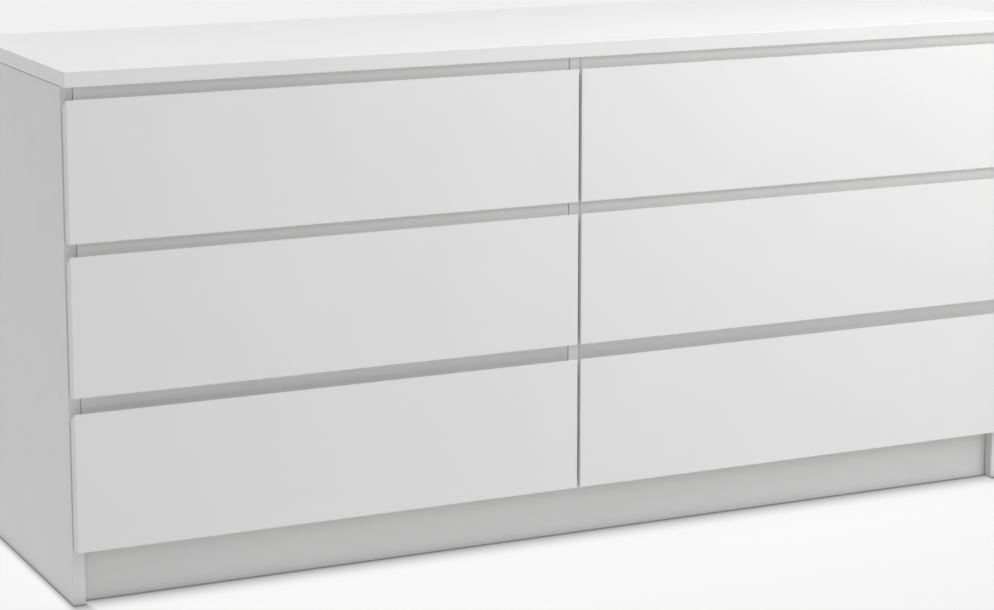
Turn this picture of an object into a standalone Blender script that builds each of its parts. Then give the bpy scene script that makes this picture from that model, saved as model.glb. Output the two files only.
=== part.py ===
"""A low, wide dresser with six drawers in two columns.

The carcass is a top, two sides, a centre partition, a plinth, front and rear rails and a thin back.
Each drawer is a slab front without a handle, two sides, a back and a thin bottom that lies in grooves,
and it slides on a pair of steel runners. A finger goes over the sloping top edge of a front to pull it.

Metres, +Z up. The origin is on the floor under the middle of the dresser, and the fronts face -Y.
"""

from itertools import product

import bpy
from mathutils import Vector

# Overall size
WIDTH = 1.600
DEPTH = 0.480
HEIGHT = 0.770

# Boards
TOP_THICK = 0.022
BOARD_THICK = 0.018
DRAWER_SIDE_THICK = 0.012
THIN_PANEL = 0.003
EDGE_RADIUS = 0.0008
EDGE_SEGMENTS = 2

# Gaps between pieces
REST_GAP = 0.0003
TOP_JOINT_GAP = 0.0005
RAIL_JOINT_GAP = 0.0006

# Drawer fronts
FRONT_HEIGHT = 0.2025
FRONT_BOTTOMS = {"bottom": 0.0825, "middle": 0.3075, "top": 0.5280}
FRONT_OUTER_REVEAL = 0.002
FRONT_CENTRE_GAP = 0.005
FRONT_STAND_OFF = 0.0012
FINGER_SLOPE_DROP = 0.012
TOP_OVERHANG = 0.001

# Drawer boxes
BOX_HEIGHT = 0.145
BOX_LENGTH = 0.430
BOX_ABOVE_FRONT_BOTTOM = 0.020
BOX_SIDE_CLEARANCE = 0.0125
BOTTOM_HEIGHT = 0.010
GROOVE_DEPTH = 0.006
GROOVE_PLAY = 0.001

# Carcass
PLINTH_HEIGHT = 0.095
PLINTH_SET_BACK = 0.018
RAIL_HEIGHT = 0.050
RAIL_SET_BACK = 0.0005
RAIL_BOTTOMS = {"lower": 0.2665, "upper": 0.4900}
BACK_REBATE_WIDTH = 0.010
BACK_INSET = 0.001
BACK_FLOOR_CLEARANCE = 0.008
REAR_RAIL_BOTTOM = 0.020
REAR_RAIL_HEIGHT = 0.070

# Runners, bent from sheet steel
RUNNER_STEEL = 0.0012
RUNNER_LENGTH = 0.430
RUNNER_HEIGHT = 0.026
RUNNER_WIDTH = 0.0105
RUNNER_LIP = 0.0035
RUNNER_BELOW_BOX = 0.0055
RUNNER_SET_BACK = 0.003

# Planes worked out from the sizes above
TOP_UNDERSIDE = HEIGHT - TOP_THICK
BOARD_TOP = TOP_UNDERSIDE - TOP_JOINT_GAP
REAR = DEPTH / 2
FRONT_FACE = -DEPTH / 2 + TOP_OVERHANG
FRONT_BACK = FRONT_FACE + BOARD_THICK
CARCASS_FRONT = FRONT_BACK + FRONT_STAND_OFF
SIDE_INNER = WIDTH / 2 - BOARD_THICK
PARTITION_HALF = BOARD_THICK / 2
BACK_REAR = REAR - BACK_INSET
BACK_FRONT = BACK_REAR - THIN_PANEL
BOX_FRONT = FRONT_BACK + REST_GAP
BOX_REAR = BOX_FRONT + BOX_LENGTH

COLUMNS = {"left": -1, "right": 1}
CUTTER_MARGIN = 0.02


def clear_scene():
    for thing in list(bpy.data.objects):
        bpy.data.objects.remove(thing, do_unlink=True)


def make_material(name, colour, roughness, metallic=0.0):
    material = bpy.data.materials.new(name)
    material.use_nodes = True
    shader = material.node_tree.nodes["Principled BSDF"]
    shader.inputs["Base Color"].default_value = (*colour, 1.0)
    shader.inputs["Roughness"].default_value = roughness
    shader.inputs["Metallic"].default_value = metallic
    return material


def link(name, mesh, location, parent):
    piece = bpy.data.objects.new(name, mesh)
    bpy.context.scene.collection.objects.link(piece)
    piece.location = location
    if parent:
        piece.parent = parent
        piece.location = Vector(location) - parent.location
    return piece


def add_box(name, x, y, z, parent=None):
    """A box between the given (low, high) pairs, with its origin in its middle."""
    half_x, half_y, half_z = [(high - low) / 2 for low, high in (x, y, z)]
    corners = list(product((-half_x, half_x), (-half_y, half_y), (-half_z, half_z)))
    faces = [(0, 1, 3, 2), (4, 6, 7, 5), (0, 4, 5, 1), (2, 3, 7, 6), (0, 2, 6, 4), (1, 5, 7, 3)]
    mesh = bpy.data.meshes.new(name)
    mesh.from_pydata(corners, [], faces)
    middle = Vector([(low + high) / 2 for low, high in (x, y, z)])
    return link(name, mesh, middle, parent)


def add_board(name, x, y, z, material, parent=None):
    """A board with slightly rounded edges."""
    board = add_box(name, x, y, z, parent)
    board.data.materials.append(material)
    rounding = board.modifiers.new("edge_rounding", "BEVEL")
    rounding.width = EDGE_RADIUS
    rounding.segments = EDGE_SEGMENTS
    return board


def add_thin_panel(name, x, y, z, material, parent=None):
    panel = add_box(name, x, y, z, parent)
    panel.data.materials.append(material)
    return panel


def add_cutter(name, x, y, z, parent=None):
    cutter = add_box(name, x, y, z, parent)
    cutter.hide_render = True
    cutter.display_type = "WIRE"
    return cutter


def cut(board, cutter):
    cutting = board.modifiers.new(cutter.name, "BOOLEAN")
    cutting.operation = "DIFFERENCE"
    cutting.solver = "EXACT"
    cutting.object = cutter


def span(sign, near, far):
    """The (low, high) X pair between two distances from the middle, on the side of sign."""
    return tuple(sorted((sign * near, sign * far)))


def make_sides(white):
    """The side panels, each with a rebate at its rear inner edge for the back panel."""
    for column, sign in COLUMNS.items():
        panel = add_board(
            f"{column}_side_panel",
            span(sign, SIDE_INNER, WIDTH / 2),
            (CARCASS_FRONT, REAR),
            (0, BOARD_TOP),
            white,
        )
        rebate = add_cutter(
            f"{column}_rebate_cutter",
            span(sign, SIDE_INNER - CUTTER_MARGIN, SIDE_INNER + BACK_REBATE_WIDTH),
            (BACK_FRONT - REST_GAP, REAR + CUTTER_MARGIN),
            (-CUTTER_MARGIN, HEIGHT),
        )
        cut(panel, rebate)


def make_partition(white):
    """The centre partition, notched at its lower front corner for the plinth."""
    partition = add_board(
        "centre_partition",
        (-PARTITION_HALF, PARTITION_HALF),
        (CARCASS_FRONT, BACK_FRONT - REST_GAP),
        (0, BOARD_TOP),
        white,
    )
    notch = add_cutter(
        "plinth_notch_cutter",
        (-CUTTER_MARGIN, CUTTER_MARGIN),
        (CARCASS_FRONT - CUTTER_MARGIN, CARCASS_FRONT + PLINTH_SET_BACK + BOARD_THICK + REST_GAP),
        (-CUTTER_MARGIN, PLINTH_HEIGHT + REST_GAP),
    )
    cut(partition, notch)


def make_plinth(white):
    half = SIDE_INNER - RAIL_JOINT_GAP
    front = CARCASS_FRONT + PLINTH_SET_BACK
    add_board("plinth_board", (-half, half), (front, front + BOARD_THICK), (0, PLINTH_HEIGHT), white)


def make_rails(white):
    """The front rails that show in the gaps above the fronts, and the rear rails near the floor."""
    rail_front = CARCASS_FRONT + RAIL_SET_BACK
    depth = (rail_front, rail_front + BOARD_THICK)
    rear_face = BACK_FRONT - REST_GAP
    levels = {name: (bottom, bottom + RAIL_HEIGHT) for name, bottom in RAIL_BOTTOMS.items()}
    levels["top"] = (BOARD_TOP - RAIL_HEIGHT, BOARD_TOP)
    for column, sign in COLUMNS.items():
        width = span(sign, PARTITION_HALF + RAIL_JOINT_GAP, SIDE_INNER - RAIL_JOINT_GAP)
        for level, height in levels.items():
            add_board(f"{level}_rail_{column}", width, depth, height, white)
        add_board(
            f"rear_rail_{column}",
            width,
            (rear_face - BOARD_THICK, rear_face),
            (REAR_RAIL_BOTTOM, REAR_RAIL_BOTTOM + REAR_RAIL_HEIGHT),
            white,
        )


def make_back(hardboard):
    """The thin back, in two panels that meet behind the partition."""
    for column, sign in COLUMNS.items():
        add_thin_panel(
            f"back_panel_{column}",
            span(sign, REST_GAP, SIDE_INNER + BACK_REBATE_WIDTH - REST_GAP),
            (BACK_FRONT, BACK_REAR),
            (BACK_FLOOR_CLEARANCE, BOARD_TOP),
            hardboard,
        )


def make_drawer_front(name, x, bottom, white, carrier):
    """A slab front. Its top edge slopes down to the back, so that a finger can hook over it."""
    height = (bottom, bottom + FRONT_HEIGHT)
    front = add_board(name, x, (FRONT_FACE, FRONT_BACK), height, white, carrier)
    for corner in front.data.vertices:
        if corner.co.y > 0 and corner.co.z > 0:
            corner.co.z -= FINGER_SLOPE_DROP
    return front


def make_drawer(row, column, materials):
    """One drawer, on an empty on its slide axis. Its bottom sits in grooves in the other boards."""
    sign = COLUMNS[column]
    front_bottom = FRONT_BOTTOMS[row]
    outer = span(sign, PARTITION_HALF + BOX_SIDE_CLEARANCE, SIDE_INNER - BOX_SIDE_CLEARANCE)
    inner = (outer[0] + DRAWER_SIDE_THICK, outer[1] - DRAWER_SIDE_THICK)
    low = front_bottom + BOX_ABOVE_FRONT_BOTTOM
    height = (low, low + BOX_HEIGHT)
    back_front = BOX_REAR - DRAWER_SIDE_THICK
    prefix = f"{row}_{column}_drawer"

    carrier = bpy.data.objects.new(f"{prefix}_slide", None)
    bpy.context.scene.collection.objects.link(carrier)
    carrier.location = ((outer[0] + outer[1]) / 2, FRONT_BACK, low)

    front_x = span(sign, FRONT_CENTRE_GAP / 2, WIDTH / 2 - FRONT_OUTER_REVEAL)
    boards = [make_drawer_front(f"{prefix}_front", front_x, front_bottom, materials["white"], carrier)]
    box_boards = {
        "left_side": ((outer[0], inner[0]), (BOX_FRONT, BOX_REAR)),
        "right_side": ((inner[1], outer[1]), (BOX_FRONT, BOX_REAR)),
        "back": ((inner[0] + REST_GAP, inner[1] - REST_GAP), (back_front, BOX_REAR)),
    }
    for place, (x, y) in box_boards.items():
        boards.append(add_board(f"{prefix}_{place}", x, y, height, materials["box"], carrier))

    reach = GROOVE_DEPTH - GROOVE_PLAY
    floor_low = low + BOTTOM_HEIGHT
    add_thin_panel(
        f"{prefix}_bottom",
        (inner[0] - reach, inner[1] + reach),
        (FRONT_BACK - reach, back_front + reach),
        (floor_low, floor_low + THIN_PANEL),
        materials["hardboard"],
        carrier,
    )
    groove = add_cutter(
        f"{prefix}_groove_cutter",
        (inner[0] - GROOVE_DEPTH, inner[1] + GROOVE_DEPTH),
        (FRONT_BACK - GROOVE_DEPTH, back_front + GROOVE_DEPTH),
        (floor_low - REST_GAP, floor_low + THIN_PANEL + REST_GAP),
        carrier,
    )
    for board in boards:
        cut(board, groove)


def make_runner(name, wall, inward, low, steel):
    """A lipped channel on a wall at X = wall, open towards the drawer, which is on the side of inward."""
    half_steel = RUNNER_STEEL / 2
    near = wall + inward * (REST_GAP + half_steel)
    far = wall + inward * (REST_GAP + RUNNER_WIDTH - half_steel)
    bottom = low + half_steel
    top = low + RUNNER_HEIGHT - half_steel
    path = [
        (far, bottom + RUNNER_LIP),
        (far, bottom),
        (near, bottom),
        (near, top),
        (far, top),
        (far, top - RUNNER_LIP),
    ]
    middle = Vector((wall, CARCASS_FRONT + RUNNER_SET_BACK + RUNNER_LENGTH / 2, low))
    corners = [
        (x - middle.x, end * RUNNER_LENGTH / 2, z - middle.z)
        for end in (-1, 1)
        for x, z in path
    ]
    count = len(path)
    strips = [(i, i + 1, i + 1 + count, i + count) for i in range(count - 1)]
    mesh = bpy.data.meshes.new(name)
    mesh.from_pydata(corners, [], strips)
    mesh.materials.append(steel)
    runner = link(name, mesh, middle, None)
    sheet = runner.modifiers.new("sheet_thickness", "SOLIDIFY")
    sheet.thickness = RUNNER_STEEL
    sheet.offset = 0
    sheet.use_even_offset = True


def make_runners(row, column, steel):
    sign = COLUMNS[column]
    low = FRONT_BOTTOMS[row] + BOX_ABOVE_FRONT_BOTTOM - RUNNER_BELOW_BOX
    make_runner(f"{row}_{column}_outer_runner", sign * SIDE_INNER, -sign, low, steel)
    make_runner(f"{row}_{column}_inner_runner", sign * PARTITION_HALF, sign, low, steel)


def main():
    clear_scene()
    materials = {
        "white": make_material("white_foil", (0.80, 0.80, 0.79), 0.42),
        "box": make_material("drawer_foil", (0.76, 0.76, 0.74), 0.55),
        "hardboard": make_material("hardboard", (0.62, 0.58, 0.52), 0.70),
        "steel": make_material("runner_enamel", (0.72, 0.72, 0.71), 0.35, 0.6),
    }
    width = (-WIDTH / 2, WIDTH / 2)
    add_board("top_panel", width, (-REAR, REAR), (TOP_UNDERSIDE, HEIGHT), materials["white"])
    make_sides(materials["white"])
    make_partition(materials["white"])
    make_plinth(materials["white"])
    make_rails(materials["white"])
    make_back(materials["hardboard"])
    for row in FRONT_BOTTOMS:
        for column in COLUMNS:
            make_drawer(row, column, materials)
            make_runners(row, column, materials["steel"])


main()
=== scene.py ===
"""Looks for the white six-drawer dresser: a finish for every board, the steel and plastic fittings that
the solids leave out, and a pale studio with soft light. Metres, +Z up, and the fronts face -Y."""

import math

import bmesh
import bpy
from mathutils import Matrix, Vector


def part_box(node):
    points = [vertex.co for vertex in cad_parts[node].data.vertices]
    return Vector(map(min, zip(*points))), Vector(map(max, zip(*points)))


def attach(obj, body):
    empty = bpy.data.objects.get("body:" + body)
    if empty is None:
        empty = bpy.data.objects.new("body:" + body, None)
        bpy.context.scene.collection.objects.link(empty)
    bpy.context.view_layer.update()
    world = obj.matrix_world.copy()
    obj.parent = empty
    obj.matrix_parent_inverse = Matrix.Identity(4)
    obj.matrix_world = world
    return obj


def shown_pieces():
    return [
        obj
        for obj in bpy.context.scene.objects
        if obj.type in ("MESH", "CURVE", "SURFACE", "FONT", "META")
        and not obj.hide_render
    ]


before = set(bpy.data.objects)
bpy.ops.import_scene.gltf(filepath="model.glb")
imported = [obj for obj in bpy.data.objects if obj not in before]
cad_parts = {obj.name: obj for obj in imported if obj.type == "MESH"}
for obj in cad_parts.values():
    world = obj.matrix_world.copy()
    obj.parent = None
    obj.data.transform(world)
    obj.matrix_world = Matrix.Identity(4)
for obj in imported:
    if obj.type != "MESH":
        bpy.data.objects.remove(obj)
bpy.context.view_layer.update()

ROWS = ("bottom", "middle", "top")
COLUMNS = ("left", "right")
PLACES = ("outer", "inner")

# Colours, as linear light
WHITE = (0.76, 0.76, 0.757)
# The next three whites are the boards' one white with painted light and shade: a shade paler on the top,
# paler on the rails and the partition in the gaps between the fronts, and darker, painted shade, at the
# sides and the plinth
LIT_TOP_WHITE = (0.765, 0.765, 0.762)
LIT_INNER_WHITE = (0.79, 0.79, 0.787)
SHADED_WHITE = (0.73, 0.73, 0.727)
BOX_WHITE = (0.76, 0.76, 0.75)
SEAM_GREY = (0.42, 0.42, 0.41)
HANDLED_GREY = (0.70, 0.69, 0.66)
RAW_FIBRE = (0.34, 0.225, 0.135)
RAW_FIBRE_DARK = (0.20, 0.125, 0.07)
ENAMEL = (0.74, 0.74, 0.72)
NYLON = (0.70, 0.69, 0.64)
ZINC = (0.60, 0.61, 0.62)
SILICONE = (0.62, 0.63, 0.62)
FLOOR_WHITE = (0.36, 0.36, 0.36)

# The shade painted on the floor round the boards that stand on it: its width, how many times narrower it
# is at the sides, and the floor's tone across it, as (share of the width, share of the floor's white)
SHADE_WIDTH = 0.060
SIDE_SHADE = 4.4
FLOOR_SHADE = (
    (0.0, 0.12),
    (0.03, 0.22),
    (0.07, 0.36),
    (0.14, 0.48),
    (0.27, 0.62),
    (0.47, 0.76),
    (0.73, 0.92),
    (1.0, 1.0),
)
FLOOR_HALF = 30.0

# How rough each kind of foil is
TOP_ROUGHNESS = 0.54
BOARD_ROUGHNESS = 0.40
BOX_ROUGHNESS = 0.52

# The world's strength as light, and as the camera sees it
WORLD_LIGHT = 0.12
WORLD_SEEN = 0.88

# The edge banding that closes a board's edges
BAND_THICK = 0.0010
BAND_SEAM = 0.0005

# Steel drawer members: a sheet bent along the drawer side's lower corner
MEMBER_STEEL = 0.0010
MEMBER_GAP = 0.00035
MEMBER_UNDER = 0.0115
MEMBER_RISE = 0.0135
MEMBER_REACH = 0.0092
MEMBER_LIP = 0.0022
BEND_RADIUS = 0.0012

# The runners' sheet steel, as in the solids
RUNNER_STEEL = 0.0012

# Rollers and the rivets that they turn on
ROLLER_RADIUS = 0.0085
ROLLER_WIDTH = 0.0062
ROLLER_ABOVE_BOX = 0.0044
ROLLER_WALL_GAP = 0.0022
ROLLER_INSET = 0.0150
REAR_ROLLER_OUT = 0.0042
PIN_RADIUS = 0.0016
PIN_HEAD_RADIUS = 0.0028
REAR_AXLE = (0.0072, 0.0026)
FRONT_AXLE = (0.0074, 0.0008)

# Fasteners
SCREW_RADIUS = 0.0028
SCREW_HEIGHT = 0.0009
CAM_RADIUS = 0.0060
CAM_HEIGHT = 0.0004
NAIL_RADIUS = 0.0018
NAIL_HEIGHT = 0.0005
BUMPER_HEIGHT = 0.0009
BUMPER_RADIUS = 0.0027
PROUD = 0.0001

# Where the fasteners sit: shares of a board's length or height, and distances from its edges
SLIDE_SCREW_SHARES = (0.08, 0.5, 0.88)
MEMBER_SCREW_RISE = 0.0065
WALL_SCREW_RISE = 0.0162
WALL_SCREW_SHIFT = 0.012
CORNER_SHARES = (0.24, 0.78)
FRONT_CAM_INSET = 0.030
BOARD_CAM_INSET = 0.034
SIDE_CAM_INSET = 0.075
BUMPER_INSET = 0.007
BUMPER_ABOVE_FOOT = 0.035
BUMPER_BELOW_HEAD = 0.045
NAIL_INSET = 0.005
MIDDLE_NAIL_INSET = 0.0045
NAIL_MARGIN = 0.03
NAIL_STEP = 0.11
RAIL_NAIL_MARGIN = 0.05
RAIL_NAIL_STEP = 0.13


# ---------------------------------------------------------------- materials


class Look:
    """A Principled material, with short calls that add nodes to it. Patterns lie in the row frame."""

    def __init__(self, name, metallic=0.0):
        self.material = bpy.data.materials.new(name)
        self.material.use_nodes = True
        self.nodes = self.material.node_tree.nodes
        self.links = self.material.node_tree.links
        self.shader = self.nodes["Principled BSDF"]
        self.shader.inputs["Metallic"].default_value = metallic
        self.place = self.nodes.new("ShaderNodeTexCoord").outputs["Object"]
        split = self.nodes.new("ShaderNodeSeparateXYZ")
        self.links.new(self.place, split.inputs[0])
        self.xyz = list(split.outputs)

    def feed(self, socket, value):
        if isinstance(value, bpy.types.NodeSocket):
            self.links.new(value, socket)
        else:
            socket.default_value = value

    def math(self, operation, *values):
        node = self.nodes.new("ShaderNodeMath")
        node.operation = operation
        for socket, value in zip(node.inputs, values):
            self.feed(socket, value)
        return node.outputs[0]

    def remap(self, value, low, high, new_low=0.0, new_high=1.0):
        """Value from low..high to new_low..new_high, held at both ends."""
        node = self.nodes.new("ShaderNodeMapRange")
        for socket, given in zip(node.inputs, (value, low, high, new_low, new_high)):
            self.feed(socket, given)
        return node.outputs[0]

    def noise(self, scale, detail=2.0, distortion=0.0, stretch=(1.0, 1.0, 1.0)):
        """Noise with features of about 1 / scale metres, longer where stretch is under 1."""
        mapping = self.nodes.new("ShaderNodeMapping")
        mapping.inputs["Scale"].default_value = stretch
        self.links.new(self.place, mapping.inputs["Vector"])
        node = self.nodes.new("ShaderNodeTexNoise")
        node.inputs["Scale"].default_value = scale
        node.inputs["Detail"].default_value = detail
        node.inputs["Distortion"].default_value = distortion
        self.links.new(mapping.outputs[0], node.inputs["Vector"])
        return node.outputs["Fac"]

    def flakes(self, scale):
        """A random value for each cell of about 1 / scale metres."""
        node = self.nodes.new("ShaderNodeTexVoronoi")
        node.inputs["Scale"].default_value = scale
        self.links.new(self.place, node.inputs["Vector"])
        return self.first_channel(node.outputs["Color"])

    def first_channel(self, colour):
        split = self.nodes.new("ShaderNodeSeparateColor")
        self.links.new(colour, split.inputs[0])
        return split.outputs[0]

    def mix(self, factor, first, second):
        node = self.nodes.new("ShaderNodeMix")
        node.data_type = "RGBA"
        self.feed(node.inputs["Factor"], factor)
        for socket, colour in ((node.inputs["A"], first), (node.inputs["B"], second)):
            self.feed(socket, (*colour, 1.0) if isinstance(colour, tuple) else colour)
        return node.outputs["Result"]

    def bump(self, height, depth, after=None):
        """A normal that stands height (0..1) times depth metres proud."""
        node = self.nodes.new("ShaderNodeBump")
        node.inputs["Distance"].default_value = depth
        self.feed(node.inputs["Height"], height)
        if after:
            self.links.new(after, node.inputs["Normal"])
        return node.outputs["Normal"]

    def finish(self, colour, roughness, normal):
        for name, value in (("Base Color", colour), ("Roughness", roughness), ("Normal", normal)):
            self.feed(self.shader.inputs[name], value)
        return self.material


def edge_distance(look, low, high):
    """How far a point on a box's surface lies from the nearest edge."""
    depths = []
    for value, start, end in zip(look.xyz, low, high):
        from_start = look.math("SUBTRACT", value, start)
        depths.append(look.math("MINIMUM", from_start, look.math("SUBTRACT", end, value)))
    least = look.math("MINIMUM", depths[0], depths[1])
    most = look.math("MAXIMUM", depths[0], depths[1])
    return look.math("MAXIMUM", least, look.math("MINIMUM", most, depths[2]))


def foil(name, tone, box, rough):
    """White foil on a board: an even print, a fine embossed skin, the seam of the edge banding, and
    corners a little greyed by hands."""
    look = Look(name)
    cloud = look.noise(6.0, 3.0)
    smudge = look.noise(22.0, 4.0, distortion=1.5)
    skin = look.noise(1100.0, 2.0)
    colour = look.mix(look.remap(cloud, 0.35, 0.65), tone, tuple(0.985 * c for c in tone))
    edge = edge_distance(look, *box)
    from_seam = look.math("ABSOLUTE", look.math("SUBTRACT", edge, BAND_THICK))
    seam = look.remap(from_seam, 0.3 * BAND_SEAM, BAND_SEAM, 0.16, 0.0)
    colour = look.mix(seam, colour, SEAM_GREY)
    corner = look.remap(edge, 0.0, 0.005, 1.0, 0.0)
    patch = look.remap(look.noise(60.0, 3.0), 0.5, 0.75, 0.0, 0.5)
    colour = look.mix(look.math("MULTIPLY", corner, patch), colour, HANDLED_GREY)
    roughness = look.remap(smudge, 0.3, 0.7, rough - 0.03, rough + 0.05)
    ripple = look.bump(look.noise(160.0, 1.0), 0.000012)
    return look.finish(colour, roughness, look.bump(skin, 0.000012, ripple))


def hardboard(name, axis, middle, raw_above):
    """Thin fibreboard, white on one face and raw brown fibre on the other."""
    look = Look(name)
    fibres = look.noise(420.0, 4.0, distortion=0.8)
    clumps = look.noise(38.0, 4.0)
    specks = look.remap(look.flakes(520.0), 0.86, 0.95)
    raw = look.mix(look.remap(clumps, 0.3, 0.7), RAW_FIBRE, tuple(0.86 * c for c in RAW_FIBRE))
    raw = look.mix(look.remap(fibres, 0.42, 0.70, 0.0, 0.55), raw, RAW_FIBRE_DARK)
    raw = look.mix(look.math("MULTIPLY", specks, 0.5), raw, RAW_FIBRE_DARK)
    painted = look.mix(look.remap(clumps, 0.3, 0.7), BOX_WHITE, tuple(0.97 * c for c in BOX_WHITE))
    order = (look.xyz[axis], middle) if raw_above else (middle, look.xyz[axis])
    is_raw = look.math("GREATER_THAN", *order)
    roughness = look.math("MULTIPLY_ADD", is_raw, 0.25, look.remap(clumps, 0.3, 0.7, 0.50, 0.60))
    weave = look.noise(900.0, 2.0)
    return look.finish(look.mix(is_raw, painted, raw), roughness, look.bump(weave, 0.00004))


def enamel():
    """White baked enamel on bent steel, with faint rubbing along the slide."""
    look = Look("white_enamel")
    scuffs = look.remap(look.noise(500.0, 3.0, stretch=(1.0, 0.03, 1.0)), 0.60, 0.72)
    colour = look.mix(look.math("MULTIPLY", scuffs, 0.35), ENAMEL, tuple(0.72 * c for c in ENAMEL))
    roughness = look.remap(look.noise(30.0, 3.0), 0.3, 0.7, 0.26, 0.40)
    return look.finish(colour, roughness, look.bump(look.noise(700.0, 1.0), 0.00003))


def nylon():
    """Off-white moulded nylon, a little cloudy."""
    look = Look("roller_nylon")
    colour = look.mix(look.remap(look.noise(200.0, 2.0), 0.35, 0.65), NYLON, tuple(0.92 * c for c in NYLON))
    roughness = look.remap(look.noise(300.0), 0.3, 0.7, 0.38, 0.52)
    return look.finish(colour, roughness, look.bump(look.noise(1800.0), 0.00001))


def zinc():
    """Zinc plate in patches of uneven brightness."""
    look = Look("zinc_plate", metallic=1.0)
    patches = look.noise(260.0, 3.0)
    colour = look.mix(look.remap(patches, 0.35, 0.65), ZINC, tuple(0.80 * c for c in ZINC))
    roughness = look.remap(patches, 0.3, 0.7, 0.26, 0.46)
    return look.finish(colour, roughness, look.bump(look.noise(2400.0), 0.00001))


def silicone():
    """Cloudy, partly clear silicone."""
    look = Look("clear_silicone")
    look.shader.inputs["Transmission Weight"].default_value = 0.35
    cloud = look.noise(350.0, 2.0)
    colour = look.mix(look.remap(cloud, 0.35, 0.65), SILICONE, tuple(0.9 * c for c in SILICONE))
    roughness = look.remap(cloud, 0.3, 0.7, 0.30, 0.42)
    return look.finish(colour, roughness, look.bump(look.noise(1500.0), 0.00001))


def paint(node, material):
    """Puts the material on a CAD node's slots. Its mesh stays as it is."""
    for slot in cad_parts[node].material_slots:
        slot.link = "OBJECT"
        slot.material = material


# ---------------------------------------------------------------- shapes


def turned(profile, segments=40):
    """A closed mesh turned about Z from (radius, height) points that start and end on the axis."""
    builder = bmesh.new()
    turns = [math.tau * i / segments for i in range(segments)]
    rings = []
    for radius, height in profile:
        around = turns if radius > 0 else [0.0]
        ring = [(radius * math.cos(a), radius * math.sin(a), height) for a in around]
        rings.append([builder.verts.new(point) for point in ring])
    for lower, upper in zip(rings, rings[1:]):
        for i in range(segments):
            j = (i + 1) % segments
            below = [lower[k % len(lower)] for k in (i, j)]
            above = [upper[k % len(upper)] for k in (j, i)]
            builder.faces.new(dict.fromkeys(below + above))
    bmesh.ops.recalc_face_normals(builder, faces=builder.faces)
    mesh = bpy.data.meshes.new("turned")
    builder.to_mesh(mesh)
    builder.free()
    mesh.shade_smooth()
    mesh.set_sharp_from_angle(angle=math.radians(35))
    return mesh


def cross_cut(mesh, length, width, top, depth):
    """The mesh with the cross of a driver's tip sunk into its top."""
    builder = bmesh.new()
    for x, y in ((length, width), (width, length)):
        block = bmesh.ops.create_cube(builder, size=1.0)["verts"]
        bmesh.ops.scale(builder, vec=(x, y, 2 * depth), verts=block)
        bmesh.ops.translate(builder, vec=(0, 0, top), verts=block)
    tip = bpy.data.meshes.new("driver_tip")
    builder.to_mesh(tip)
    builder.free()
    body, cutter = (bpy.data.objects.new(m.name, m) for m in (mesh, tip))
    for thing in (body, cutter):
        bpy.context.scene.collection.objects.link(thing)
    cutting = body.modifiers.new("recess", "BOOLEAN")
    cutting.object = cutter
    cutting.use_self = True
    bpy.context.view_layer.update()
    carved = bpy.data.meshes.new_from_object(body.evaluated_get(bpy.context.evaluated_depsgraph_get()))
    for thing in (body, cutter):
        bpy.data.objects.remove(thing)
    return carved


def group(name, mesh, places, material, body):
    """One piece made of a copy of the mesh at each place, which rides on the body."""
    builder = bmesh.new()
    for place in places:
        copy = mesh.copy()
        copy.transform(place)
        builder.from_mesh(copy)
        bpy.data.meshes.remove(copy)
    joined = bpy.data.meshes.new(name)
    builder.to_mesh(joined)
    builder.free()
    joined.materials.clear()
    joined.materials.append(material)
    piece = bpy.data.objects.new(name, joined)
    bpy.context.scene.collection.objects.link(piece)
    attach(piece, body)
    return piece


def facing(point, direction):
    """Puts a part turned about Z at the point, with its top towards the direction."""
    turn = Vector(direction).to_track_quat("Z", "Y")
    return Matrix.Translation(point) @ turn.to_matrix().to_4x4()


def rounded(points, radius, steps=4):
    """The path through the points, with each bend rounded."""
    path = [Vector(points[0])]
    for before, corner, after in zip(points, points[1:], points[2:]):
        corner = Vector(corner)
        start = corner + (Vector(before) - corner).normalized() * radius
        end = corner + (Vector(after) - corner).normalized() * radius
        centre = start + end - corner
        for i in range(steps + 1):
            along = start.lerp(end, i / steps) - centre
            path.append(centre + along.normalized() * radius)
    return path + [Vector(points[-1])]


def bent_sheet(name, path, y_range, thickness, material, body):
    """Sheet steel that follows the (x, z) path and runs along Y."""
    corners = [(x, y, z) for y in y_range for x, z in path]
    count = len(path)
    strips = [(i, i + 1, i + 1 + count, i + count) for i in range(count - 1)]
    mesh = bpy.data.meshes.new(name)
    mesh.from_pydata(corners, [], strips)
    mesh.shade_smooth()
    mesh.materials.append(material)
    piece = bpy.data.objects.new(name, mesh)
    bpy.context.scene.collection.objects.link(piece)
    sheet = piece.modifiers.new("sheet", "SOLIDIFY")
    sheet.thickness = thickness
    sheet.offset = 0
    sheet.use_even_offset = True
    rounding = piece.modifiers.new("rounding", "BEVEL")
    rounding.width = 0.2 * thickness
    rounding.segments = 2
    rounding.limit_method = "ANGLE"
    rounding.angle_limit = math.radians(60)
    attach(piece, body)
    return piece


def screw_mesh():
    """A low domed head with a cross recess."""
    r, h = SCREW_RADIUS, SCREW_HEIGHT
    dome = [(r * math.cos(a), h * (0.35 + 0.65 * math.sin(a))) for a in (0.0, 0.4, 0.8, 1.2)]
    head = turned([(0, 0), (r, 0)] + dome + [(0, h)], 28)
    return cross_cut(head, 1.25 * r, 0.3 * r, h, 0.45 * h)


def cam_mesh():
    """A cam's face: a raised rim round a dished disc with a cross recess."""
    rim, dip = 0.86 * CAM_RADIUS, 0.4 * CAM_HEIGHT
    profile = [(0, -CAM_HEIGHT), (CAM_RADIUS, -CAM_HEIGHT), (CAM_RADIUS, 0.7 * CAM_HEIGHT)]
    profile += [(0.97 * CAM_RADIUS, CAM_HEIGHT), (rim, CAM_HEIGHT), (0.97 * rim, dip), (0, dip)]
    return cross_cut(turned(profile), 1.1 * CAM_RADIUS, 0.26 * CAM_RADIUS, dip, 0.9 * CAM_HEIGHT)


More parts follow.
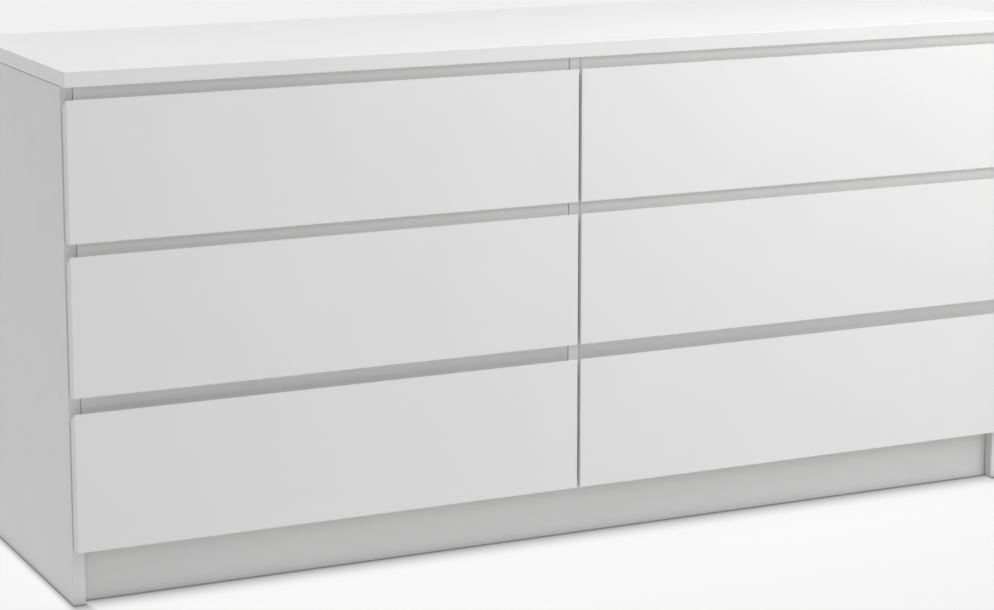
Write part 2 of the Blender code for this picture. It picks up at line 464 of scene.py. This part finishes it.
def nail_mesh():
    r, h = NAIL_RADIUS, NAIL_HEIGHT
    return turned([(0, 0), (r, 0), (r, 0.5 * h), (0.8 * r, 0.9 * h), (0, h)], 20)


def roller_mesh():
    r, w = ROLLER_RADIUS, ROLLER_WIDTH
    profile = [(0, 0), (0.93 * r, 0), (r, 0.1 * w), (r, 0.9 * w), (0.93 * r, w), (0.72 * r, w)]
    profile += [(0.66 * r, 0.86 * w), (0.42 * r, 0.86 * w), (0.38 * r, w), (0, w)]
    return turned(profile, 48)


def axle_mesh(length, below):
    """A rivet through a roller: a pin from below its back face to length, under a domed head."""
    pin, head = PIN_RADIUS, PIN_HEAD_RADIUS
    profile = [(0, -below), (pin, -below), (pin, length - 0.0009), (head, length - 0.0009)]
    return turned(profile + [(head, length - 0.0005), (0.7 * head, length - 0.0001), (0, length)], 28)


def bumper_mesh():
    radius = BUMPER_RADIUS
    profile = [(0, 0), (radius, 0), (radius, 0.55 * BUMPER_HEIGHT), (0.8 * radius, 0.86 * BUMPER_HEIGHT)]
    return turned(profile + [(0.4 * radius, BUMPER_HEIGHT), (0, BUMPER_HEIGHT)], 32)


# ---------------------------------------------------------------- the dresser's pieces


def board_tone(node):
    """The boards are all one white. Their tones differ here as painted light and shade, to make up for the
    simple
    lights: a shade paler on the top, paler in the gaps between the fronts, darker at the sides and the
    plinth."""
    if node == "top_panel":
        return LIT_TOP_WHITE
    if node == "plinth_board" or node.endswith("_side_panel"):
        return SHADED_WHITE
    return LIT_INNER_WHITE if "_rail_" in node or node == "centre_partition" else WHITE


def finish_boards():
    """Every board and panel of the frame gets its own finish, laid out on its own edges."""
    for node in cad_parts:
        low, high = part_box(node)
        if node.endswith("_runner"):
            continue
        if node.startswith("back_panel"):
            material = hardboard(f"finish_{node}", 1, (low.y + high.y) / 2, True)
        elif node.endswith("drawer_bottom"):
            material = hardboard(f"finish_{node}", 2, (low.z + high.z) / 2, False)
        elif node.endswith(("_drawer_back", "_left_side", "_right_side")):
            material = foil(f"finish_{node}", BOX_WHITE, (low, high), BOX_ROUGHNESS)
        else:
            rough = TOP_ROUGHNESS if node == "top_panel" else BOARD_ROUGHNESS
            material = foil(f"finish_{node}", board_tone(node), (low, high), rough)
        paint(node, material)


class Slide:
    """Where one runner and the drawer side that it carries are. Outward is from the drawer to the wall."""

    def __init__(self, row, column, place):
        self.at_left = (place == "outer") == (column == "left")
        self.body = f"{row}_{column}_drawer"
        self.side = "left" if self.at_left else "right"
        self.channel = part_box(f"{row}_{column}_{place}_runner")
        self.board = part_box(f"{self.body}_{self.side}_side")
        self.outward = -1 if self.at_left else 1
        self.face = self.board[0 if self.at_left else 1].x
        self.web = self.channel[0 if self.at_left else 1].x - self.outward * RUNNER_STEEL
        self.low = self.board[0].z
        self.front = self.board[0].y
        self.rear = self.board[1].y

    def out(self, distance):
        """X at a distance outward from the drawer side."""
        return self.face + self.outward * distance


def make_member(slide, material):
    """The drawer's half of a slide: a flange under the side, a web, and a lipped flange in the channel."""
    half = MEMBER_STEEL / 2
    skin = MEMBER_GAP + half
    points = [
        (-MEMBER_UNDER, -skin),
        (skin, -skin),
        (skin, MEMBER_RISE),
        (MEMBER_REACH, MEMBER_RISE),
        (MEMBER_REACH, MEMBER_RISE - MEMBER_LIP),
    ]
    path = [(slide.out(u), slide.low + w) for u, w in rounded(points, BEND_RADIUS)]
    y_range = (slide.front + 0.001, slide.rear)
    name = f"{slide.body}_{slide.side}_member"
    return bent_sheet(name, path, y_range, MEMBER_STEEL, material, slide.body)


def fitting(name, mesh, places, material, body):
    """A group with the finish slot that the metal and nylon fittings share."""
    group(name, mesh, places, material, body)


def make_slide(slide, roller, looks, row, column, place):
    """One slide's member and its two rollers. Gives back the front and the rear roller's places."""
    make_member(slide, looks["enamel"])
    out, level = slide.outward, slide.low + ROLLER_ABOVE_BOX
    front_x = slide.web - out * ROLLER_WALL_GAP * 0.4
    front = facing((front_x, slide.channel[0].y + ROLLER_INSET, level), (-out, 0, 0))
    fitting(f"{row}_{column}_{place}_front_roller", roller, [front], looks["nylon"], "carcass")
    rear = facing((slide.out(REAR_ROLLER_OUT), slide.rear - ROLLER_INSET, level), (out, 0, 0))
    fitting(f"{slide.body}_{slide.side}_rear_roller", roller, [rear], looks["nylon"], slide.body)
    return front, rear


def make_slides(looks):
    """Members, rollers and their screws, for all twelve slides."""
    roller = roller_mesh()
    screw = screw_mesh()
    carcass_axles, runner_screws = [], []
    web_outside = MEMBER_GAP + MEMBER_STEEL
    for row in ROWS:
        for column in COLUMNS:
            body = f"{row}_{column}_drawer"
            axles, screws = [], []
            for place in PLACES:
                slide = Slide(row, column, place)
                front, rear = make_slide(slide, roller, looks, row, column, place)
                carcass_axles.append(front)
                axles.append(rear)
                out, length = slide.outward, slide.rear - slide.front
                for share in SLIDE_SCREW_SHARES:
                    y = slide.front + share * length
                    on_member = (slide.out(web_outside), y, slide.low + MEMBER_SCREW_RISE)
                    screws.append(facing(on_member, (out, 0, 0)))
                    on_wall = (slide.web, y + WALL_SCREW_SHIFT, slide.low + WALL_SCREW_RISE)
                    runner_screws.append(facing(on_wall, (-out, 0, 0)))
            fitting(f"{body}_roller_axles", axle_mesh(*REAR_AXLE), axles, looks["zinc"], body)
            fitting(f"{body}_member_screws", screw, screws, looks["zinc"], body)
    fitting("front_roller_axles", axle_mesh(*FRONT_AXLE), carcass_axles, looks["zinc"], "carcass")
    fitting("runner_screws", screw, runner_screws, looks["zinc"], "carcass")


def bumper_places(body, column):
    """The bumpers behind a front: two over the side panel and two over the partition's half."""
    front_low, front_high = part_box(f"{body}_front")
    partition_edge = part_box("centre_partition")[1].x + PROUD
    if column == "right":
        columns_x = (front_high.x - BUMPER_INSET, (front_low.x + partition_edge) / 2)
    else:
        columns_x = (front_low.x + BUMPER_INSET, (front_high.x - partition_edge) / 2)
    levels = (front_low.z + BUMPER_ABOVE_FOOT, front_high.z - BUMPER_BELOW_HEAD)
    return [facing((x, front_high.y + PROUD, z), (0, 1, 0)) for x in columns_x for z in levels]


def make_drawer_fittings(looks):
    """The cams that pull each front on, the screws of its back, and the bumpers behind the front."""
    cam, screw = cam_mesh(), screw_mesh()
    for row in ROWS:
        for column in COLUMNS:
            body = f"{row}_{column}_drawer"
            back_low, back_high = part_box(f"{body}_back")
            back_y = (back_low.y + back_high.y) / 2
            cams, screws = [], []
            for side, inward in (("left", 1), ("right", -1)):
                low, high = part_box(f"{body}_{side}_side")
                inner, outer = (high.x, low.x) if inward > 0 else (low.x, high.x)
                for share in CORNER_SHARES:
                    z = low.z + share * (high.z - low.z)
                    on_side = (inner + inward * PROUD, low.y + FRONT_CAM_INSET, z)
                    cams.append(facing(on_side, (inward, 0, 0)))
                    screws.append(facing((outer - inward * PROUD, back_y, z), (-inward, 0, 0)))
            fitting(f"{body}_front_cams", cam, cams, looks["zinc"], body)
            fitting(f"{body}_back_screws", screw, screws, looks["zinc"], body)
            pads = bumper_places(body, column)
            group(f"{body}_bumpers", bumper_mesh(), pads, looks["silicone"], body)


def make_carcass_fittings(looks):
    """Cams that hold the top, the rails and the plinth."""
    places = []
    top_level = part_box("top_panel")[0].z - BOARD_CAM_INSET
    faces = [
        (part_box("left_side_panel")[1].x, 1),
        (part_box("right_side_panel")[0].x, -1),
        (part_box("centre_partition")[0].x, -1),
        (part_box("centre_partition")[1].x, 1),
    ]
    panel_low, panel_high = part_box("left_side_panel")
    for x, inward in faces:
        for y in (panel_low.y + SIDE_CAM_INSET, panel_high.y - SIDE_CAM_INSET):
            places.append(facing((x + inward * PROUD, y, top_level), (inward, 0, 0)))
    boards = [f"{level}_rail_{column}" for level in ("top", "upper", "lower") for column in COLUMNS]
    for name in boards + ["plinth_board"]:
        low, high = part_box(name)
        for x in (low.x + BOARD_CAM_INSET, high.x - BOARD_CAM_INSET):
            places.append(facing((x, high.y + PROUD, (low.z + high.z) / 2), (0, 1, 0)))
    fitting("carcass_cams", cam_mesh(), places, looks["zinc"], "carcass")


def spaced(start, end, step):
    """Even places from start to end, about a step apart."""
    count = round(abs(end - start) / step)
    return [start + (end - start) * i / count for i in range(count + 1)]


def make_back_nails(looks):
    """Nails along the sides, the partition and the rear rails."""
    nail = nail_mesh()
    for column in COLUMNS:
        low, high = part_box(f"back_panel_{column}")
        rail_low, rail_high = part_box(f"rear_rail_{column}")
        if column == "left":
            edges = (low.x + NAIL_INSET, high.x - MIDDLE_NAIL_INSET)
        else:
            edges = (high.x - NAIL_INSET, low.x + MIDDLE_NAIL_INSET)
        levels = spaced(low.z + NAIL_MARGIN, high.z - NAIL_MARGIN, NAIL_STEP)
        points = [(x, z) for x in edges for z in levels]
        rail_z = (rail_low.z + rail_high.z) / 2
        along = spaced(rail_low.x + RAIL_NAIL_MARGIN, rail_high.x - RAIL_NAIL_MARGIN, RAIL_NAIL_STEP)
        points += [(x, rail_z) for x in along]
        places = [facing((x, high.y + PROUD, z), (0, 1, 0)) for x, z in points]
        fitting(f"back_nails_{column}", nail, places, looks["zinc"], "carcass")


# ---------------------------------------------------------------- the studio


def make_camera():
    """The picture's camera. Its shift is small, so that other views keep the dresser in the frame."""
    camera = bpy.data.cameras.new("camera")
    camera.lens = 102.72
    camera.sensor_width = 36.0
    camera.shift_y = -0.09
    holder = bpy.data.objects.new("camera", camera)
    holder.location = (-1.9368, -3.9849, 1.2687)
    holder.rotation_euler = (math.radians(90 - 10.237), 0, math.radians(-25.638))
    bpy.context.scene.collection.objects.link(holder)
    bpy.context.scene.camera = holder


def footprint_distance(look):
    """How far a floor point is from the foot of the dresser. Distances along X count SIDE_SHADE times, so
    the shade is narrower at the sides."""
    nearest = 1.0
    backs = [f"back_panel_{column}" for column in COLUMNS]
    for node in ["left_side_panel", "right_side_panel", "plinth_board"] + backs:
        low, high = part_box(node)
        squares = []
        for value, start, end, widen in zip(look.xyz[:2], low, high, (SIDE_SHADE, 1.0)):
            before, after = look.math("SUBTRACT", start, value), look.math("SUBTRACT", value, end)
            beyond = look.math("MAXIMUM", before, after)
            reach = look.math("MULTIPLY", look.math("MAXIMUM", beyond, 0.0), widen)
            squares.append(look.math("POWER", reach, 2.0))
        distance = look.math("SQRT", look.math("ADD", *squares))
        nearest = look.math("MINIMUM", nearest, distance)
    return nearest


def make_floor():
    """A wide, pale, matt floor. The dresser casts no shadow on it, so its material is darker round the
    dresser's foot."""
    corners = [(x * FLOOR_HALF, y * FLOOR_HALF, 0) for x, y in ((-1, -1), (1, -1), (1, 1), (-1, 1))]
    mesh = bpy.data.meshes.new("floor")
    mesh.from_pydata(corners, [], [(0, 1, 2, 3)])
    floor = bpy.data.objects.new("floor", mesh)
    bpy.context.scene.collection.objects.link(floor)
    look = Look("pale_floor")
    shade = look.nodes.new("ShaderNodeValToRGB")
    look.links.new(look.math("DIVIDE", footprint_distance(look), SHADE_WIDTH), shade.inputs[0])
    stops = shade.color_ramp.elements
    for inner_stop in FLOOR_SHADE[1:-1]:
        stops.new(inner_stop[0])
    for stop, (place, level) in zip(stops, FLOOR_SHADE):
        stop.position = place
        stop.color = (*(level * c for c in FLOOR_WHITE), 1.0)
    look.shader.inputs["Specular IOR Level"].default_value = 0.0
    mottled = look.remap(look.noise(0.8), 0.3, 0.7, 0.0, 1.0)
    uneven = look.mix(look.math("MULTIPLY", mottled, 0.005), shade.outputs["Color"], (0.0, 0.0, 0.0))
    mesh.materials.append(look.finish(uneven, 0.9, look.bump(look.noise(300.0), 0.00002)))
    return floor


def make_light(name, kind, location, target, energy, size):
    """A sun, whose size is its angle, or a square softbox, whose size is its side."""
    light = bpy.data.lights.new(name, kind)
    light.energy = energy
    if kind == "SUN":
        light.angle = size
    else:
        light.shape = "SQUARE"
        light.size = size
    holder = bpy.data.objects.new(name, light)
    holder.location = location
    aim = Vector(target) - Vector(location)
    holder.rotation_euler = aim.to_track_quat("-Z", "Y").to_euler()
    bpy.context.scene.collection.objects.link(holder)
    return holder


def make_world():
    """Even grey light from all round. The camera sees a paler tone, which joins the floor's."""
    world = bpy.data.worlds.new("studio")
    bpy.context.scene.world = world
    world.use_nodes = True
    nodes, links = world.node_tree.nodes, world.node_tree.links
    nodes["Background"].inputs["Color"].default_value = (1, 1, 1, 1)
    path = nodes.new("ShaderNodeLightPath")
    strength = nodes.new("ShaderNodeMapRange")
    strength.inputs["To Min"].default_value = WORLD_LIGHT
    strength.inputs["To Max"].default_value = WORLD_SEEN
    links.new(path.outputs["Is Camera Ray"], strength.inputs["Value"])
    links.new(strength.outputs[0], nodes["Background"].inputs["Strength"])


def only_on(light, things, blockers=None):
    """Keeps a light to some things. Only the blockers, or else the things themselves, shade them from it."""
    for role, members in (("receiver", things), ("blocker", blockers or things)):
        chosen = bpy.data.collections.new(f"{light.name}_{role}s")
        for thing in members:
            chosen.objects.link(thing)
        setattr(light.light_linking, f"{role}_collection", chosen)


def make_studio():
    """A sky and two softboxes for the dresser, helpers for its top and its gaps, and a wash for the floor.
    Each light reaches only what it is named for, and only the low key and the gap light show as gloss."""
    make_camera()
    make_world()
    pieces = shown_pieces()
    top = [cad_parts["top_panel"]]
    in_gaps = [f"{level}_rail_{column}" for level in ("top", "upper") for column in COLUMNS]
    in_gaps.append("centre_partition")
    overhead = ((0, 0, 3), (0, 0, 0))
    wash = make_light("wash", "SUN", *overhead, 7.3, math.radians(10))
    sky = make_light("sky", "SUN", *overhead, 1.68, math.radians(138))
    top_wash = make_light("top_wash", "SUN", *overhead, 0.60, math.radians(10))
    top_fill = make_light("top_fill", "AREA", (-1.3, 0.3, 1.9), (-0.6, 0.0, 0.77), 4.0, 1.2)
    high_key = make_light("high_key", "AREA", (0.9, -1.2, 2.3), (0.1, -0.2, 0.5), 26.0, 1.2)
    low_aim = ((1.5, -1.6, 0.9), (0.1, -0.2, 0.4))
    low_key = make_light("low_key", "AREA", *low_aim, 6.5, 1.0)
    edge_key = make_light("edge_key", "AREA", *low_aim, 6.0, 1.0)
    gap_light = make_light("gap_light", "AREA", (0.8, -2.6, 1.6), (0.0, -0.2, 0.65), 11.0, 0.5)
    for light in (wash, sky, top_wash, top_fill, edge_key, high_key):
        light.visible_glossy = False
    only_on(wash, [make_floor()])
    for light in (sky, high_key):
        only_on(light, pieces)
    only_on(low_key, [piece for piece in pieces if piece not in top], pieces)
    for light in (top_wash, top_fill, edge_key):
        only_on(light, top)
    only_on(gap_light, [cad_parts[node] for node in in_gaps], pieces)
    bpy.context.scene.view_settings.view_transform = "Standard"


looks = {"enamel": enamel(), "nylon": nylon(), "zinc": zinc(), "silicone": silicone()}
finish_boards()
for runner_name in [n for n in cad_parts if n.endswith("_runner")]:
    paint(runner_name, looks["enamel"])
make_slides(looks)
make_drawer_fittings(looks)
make_carcass_fittings(looks)
make_back_nails(looks)
make_studio()
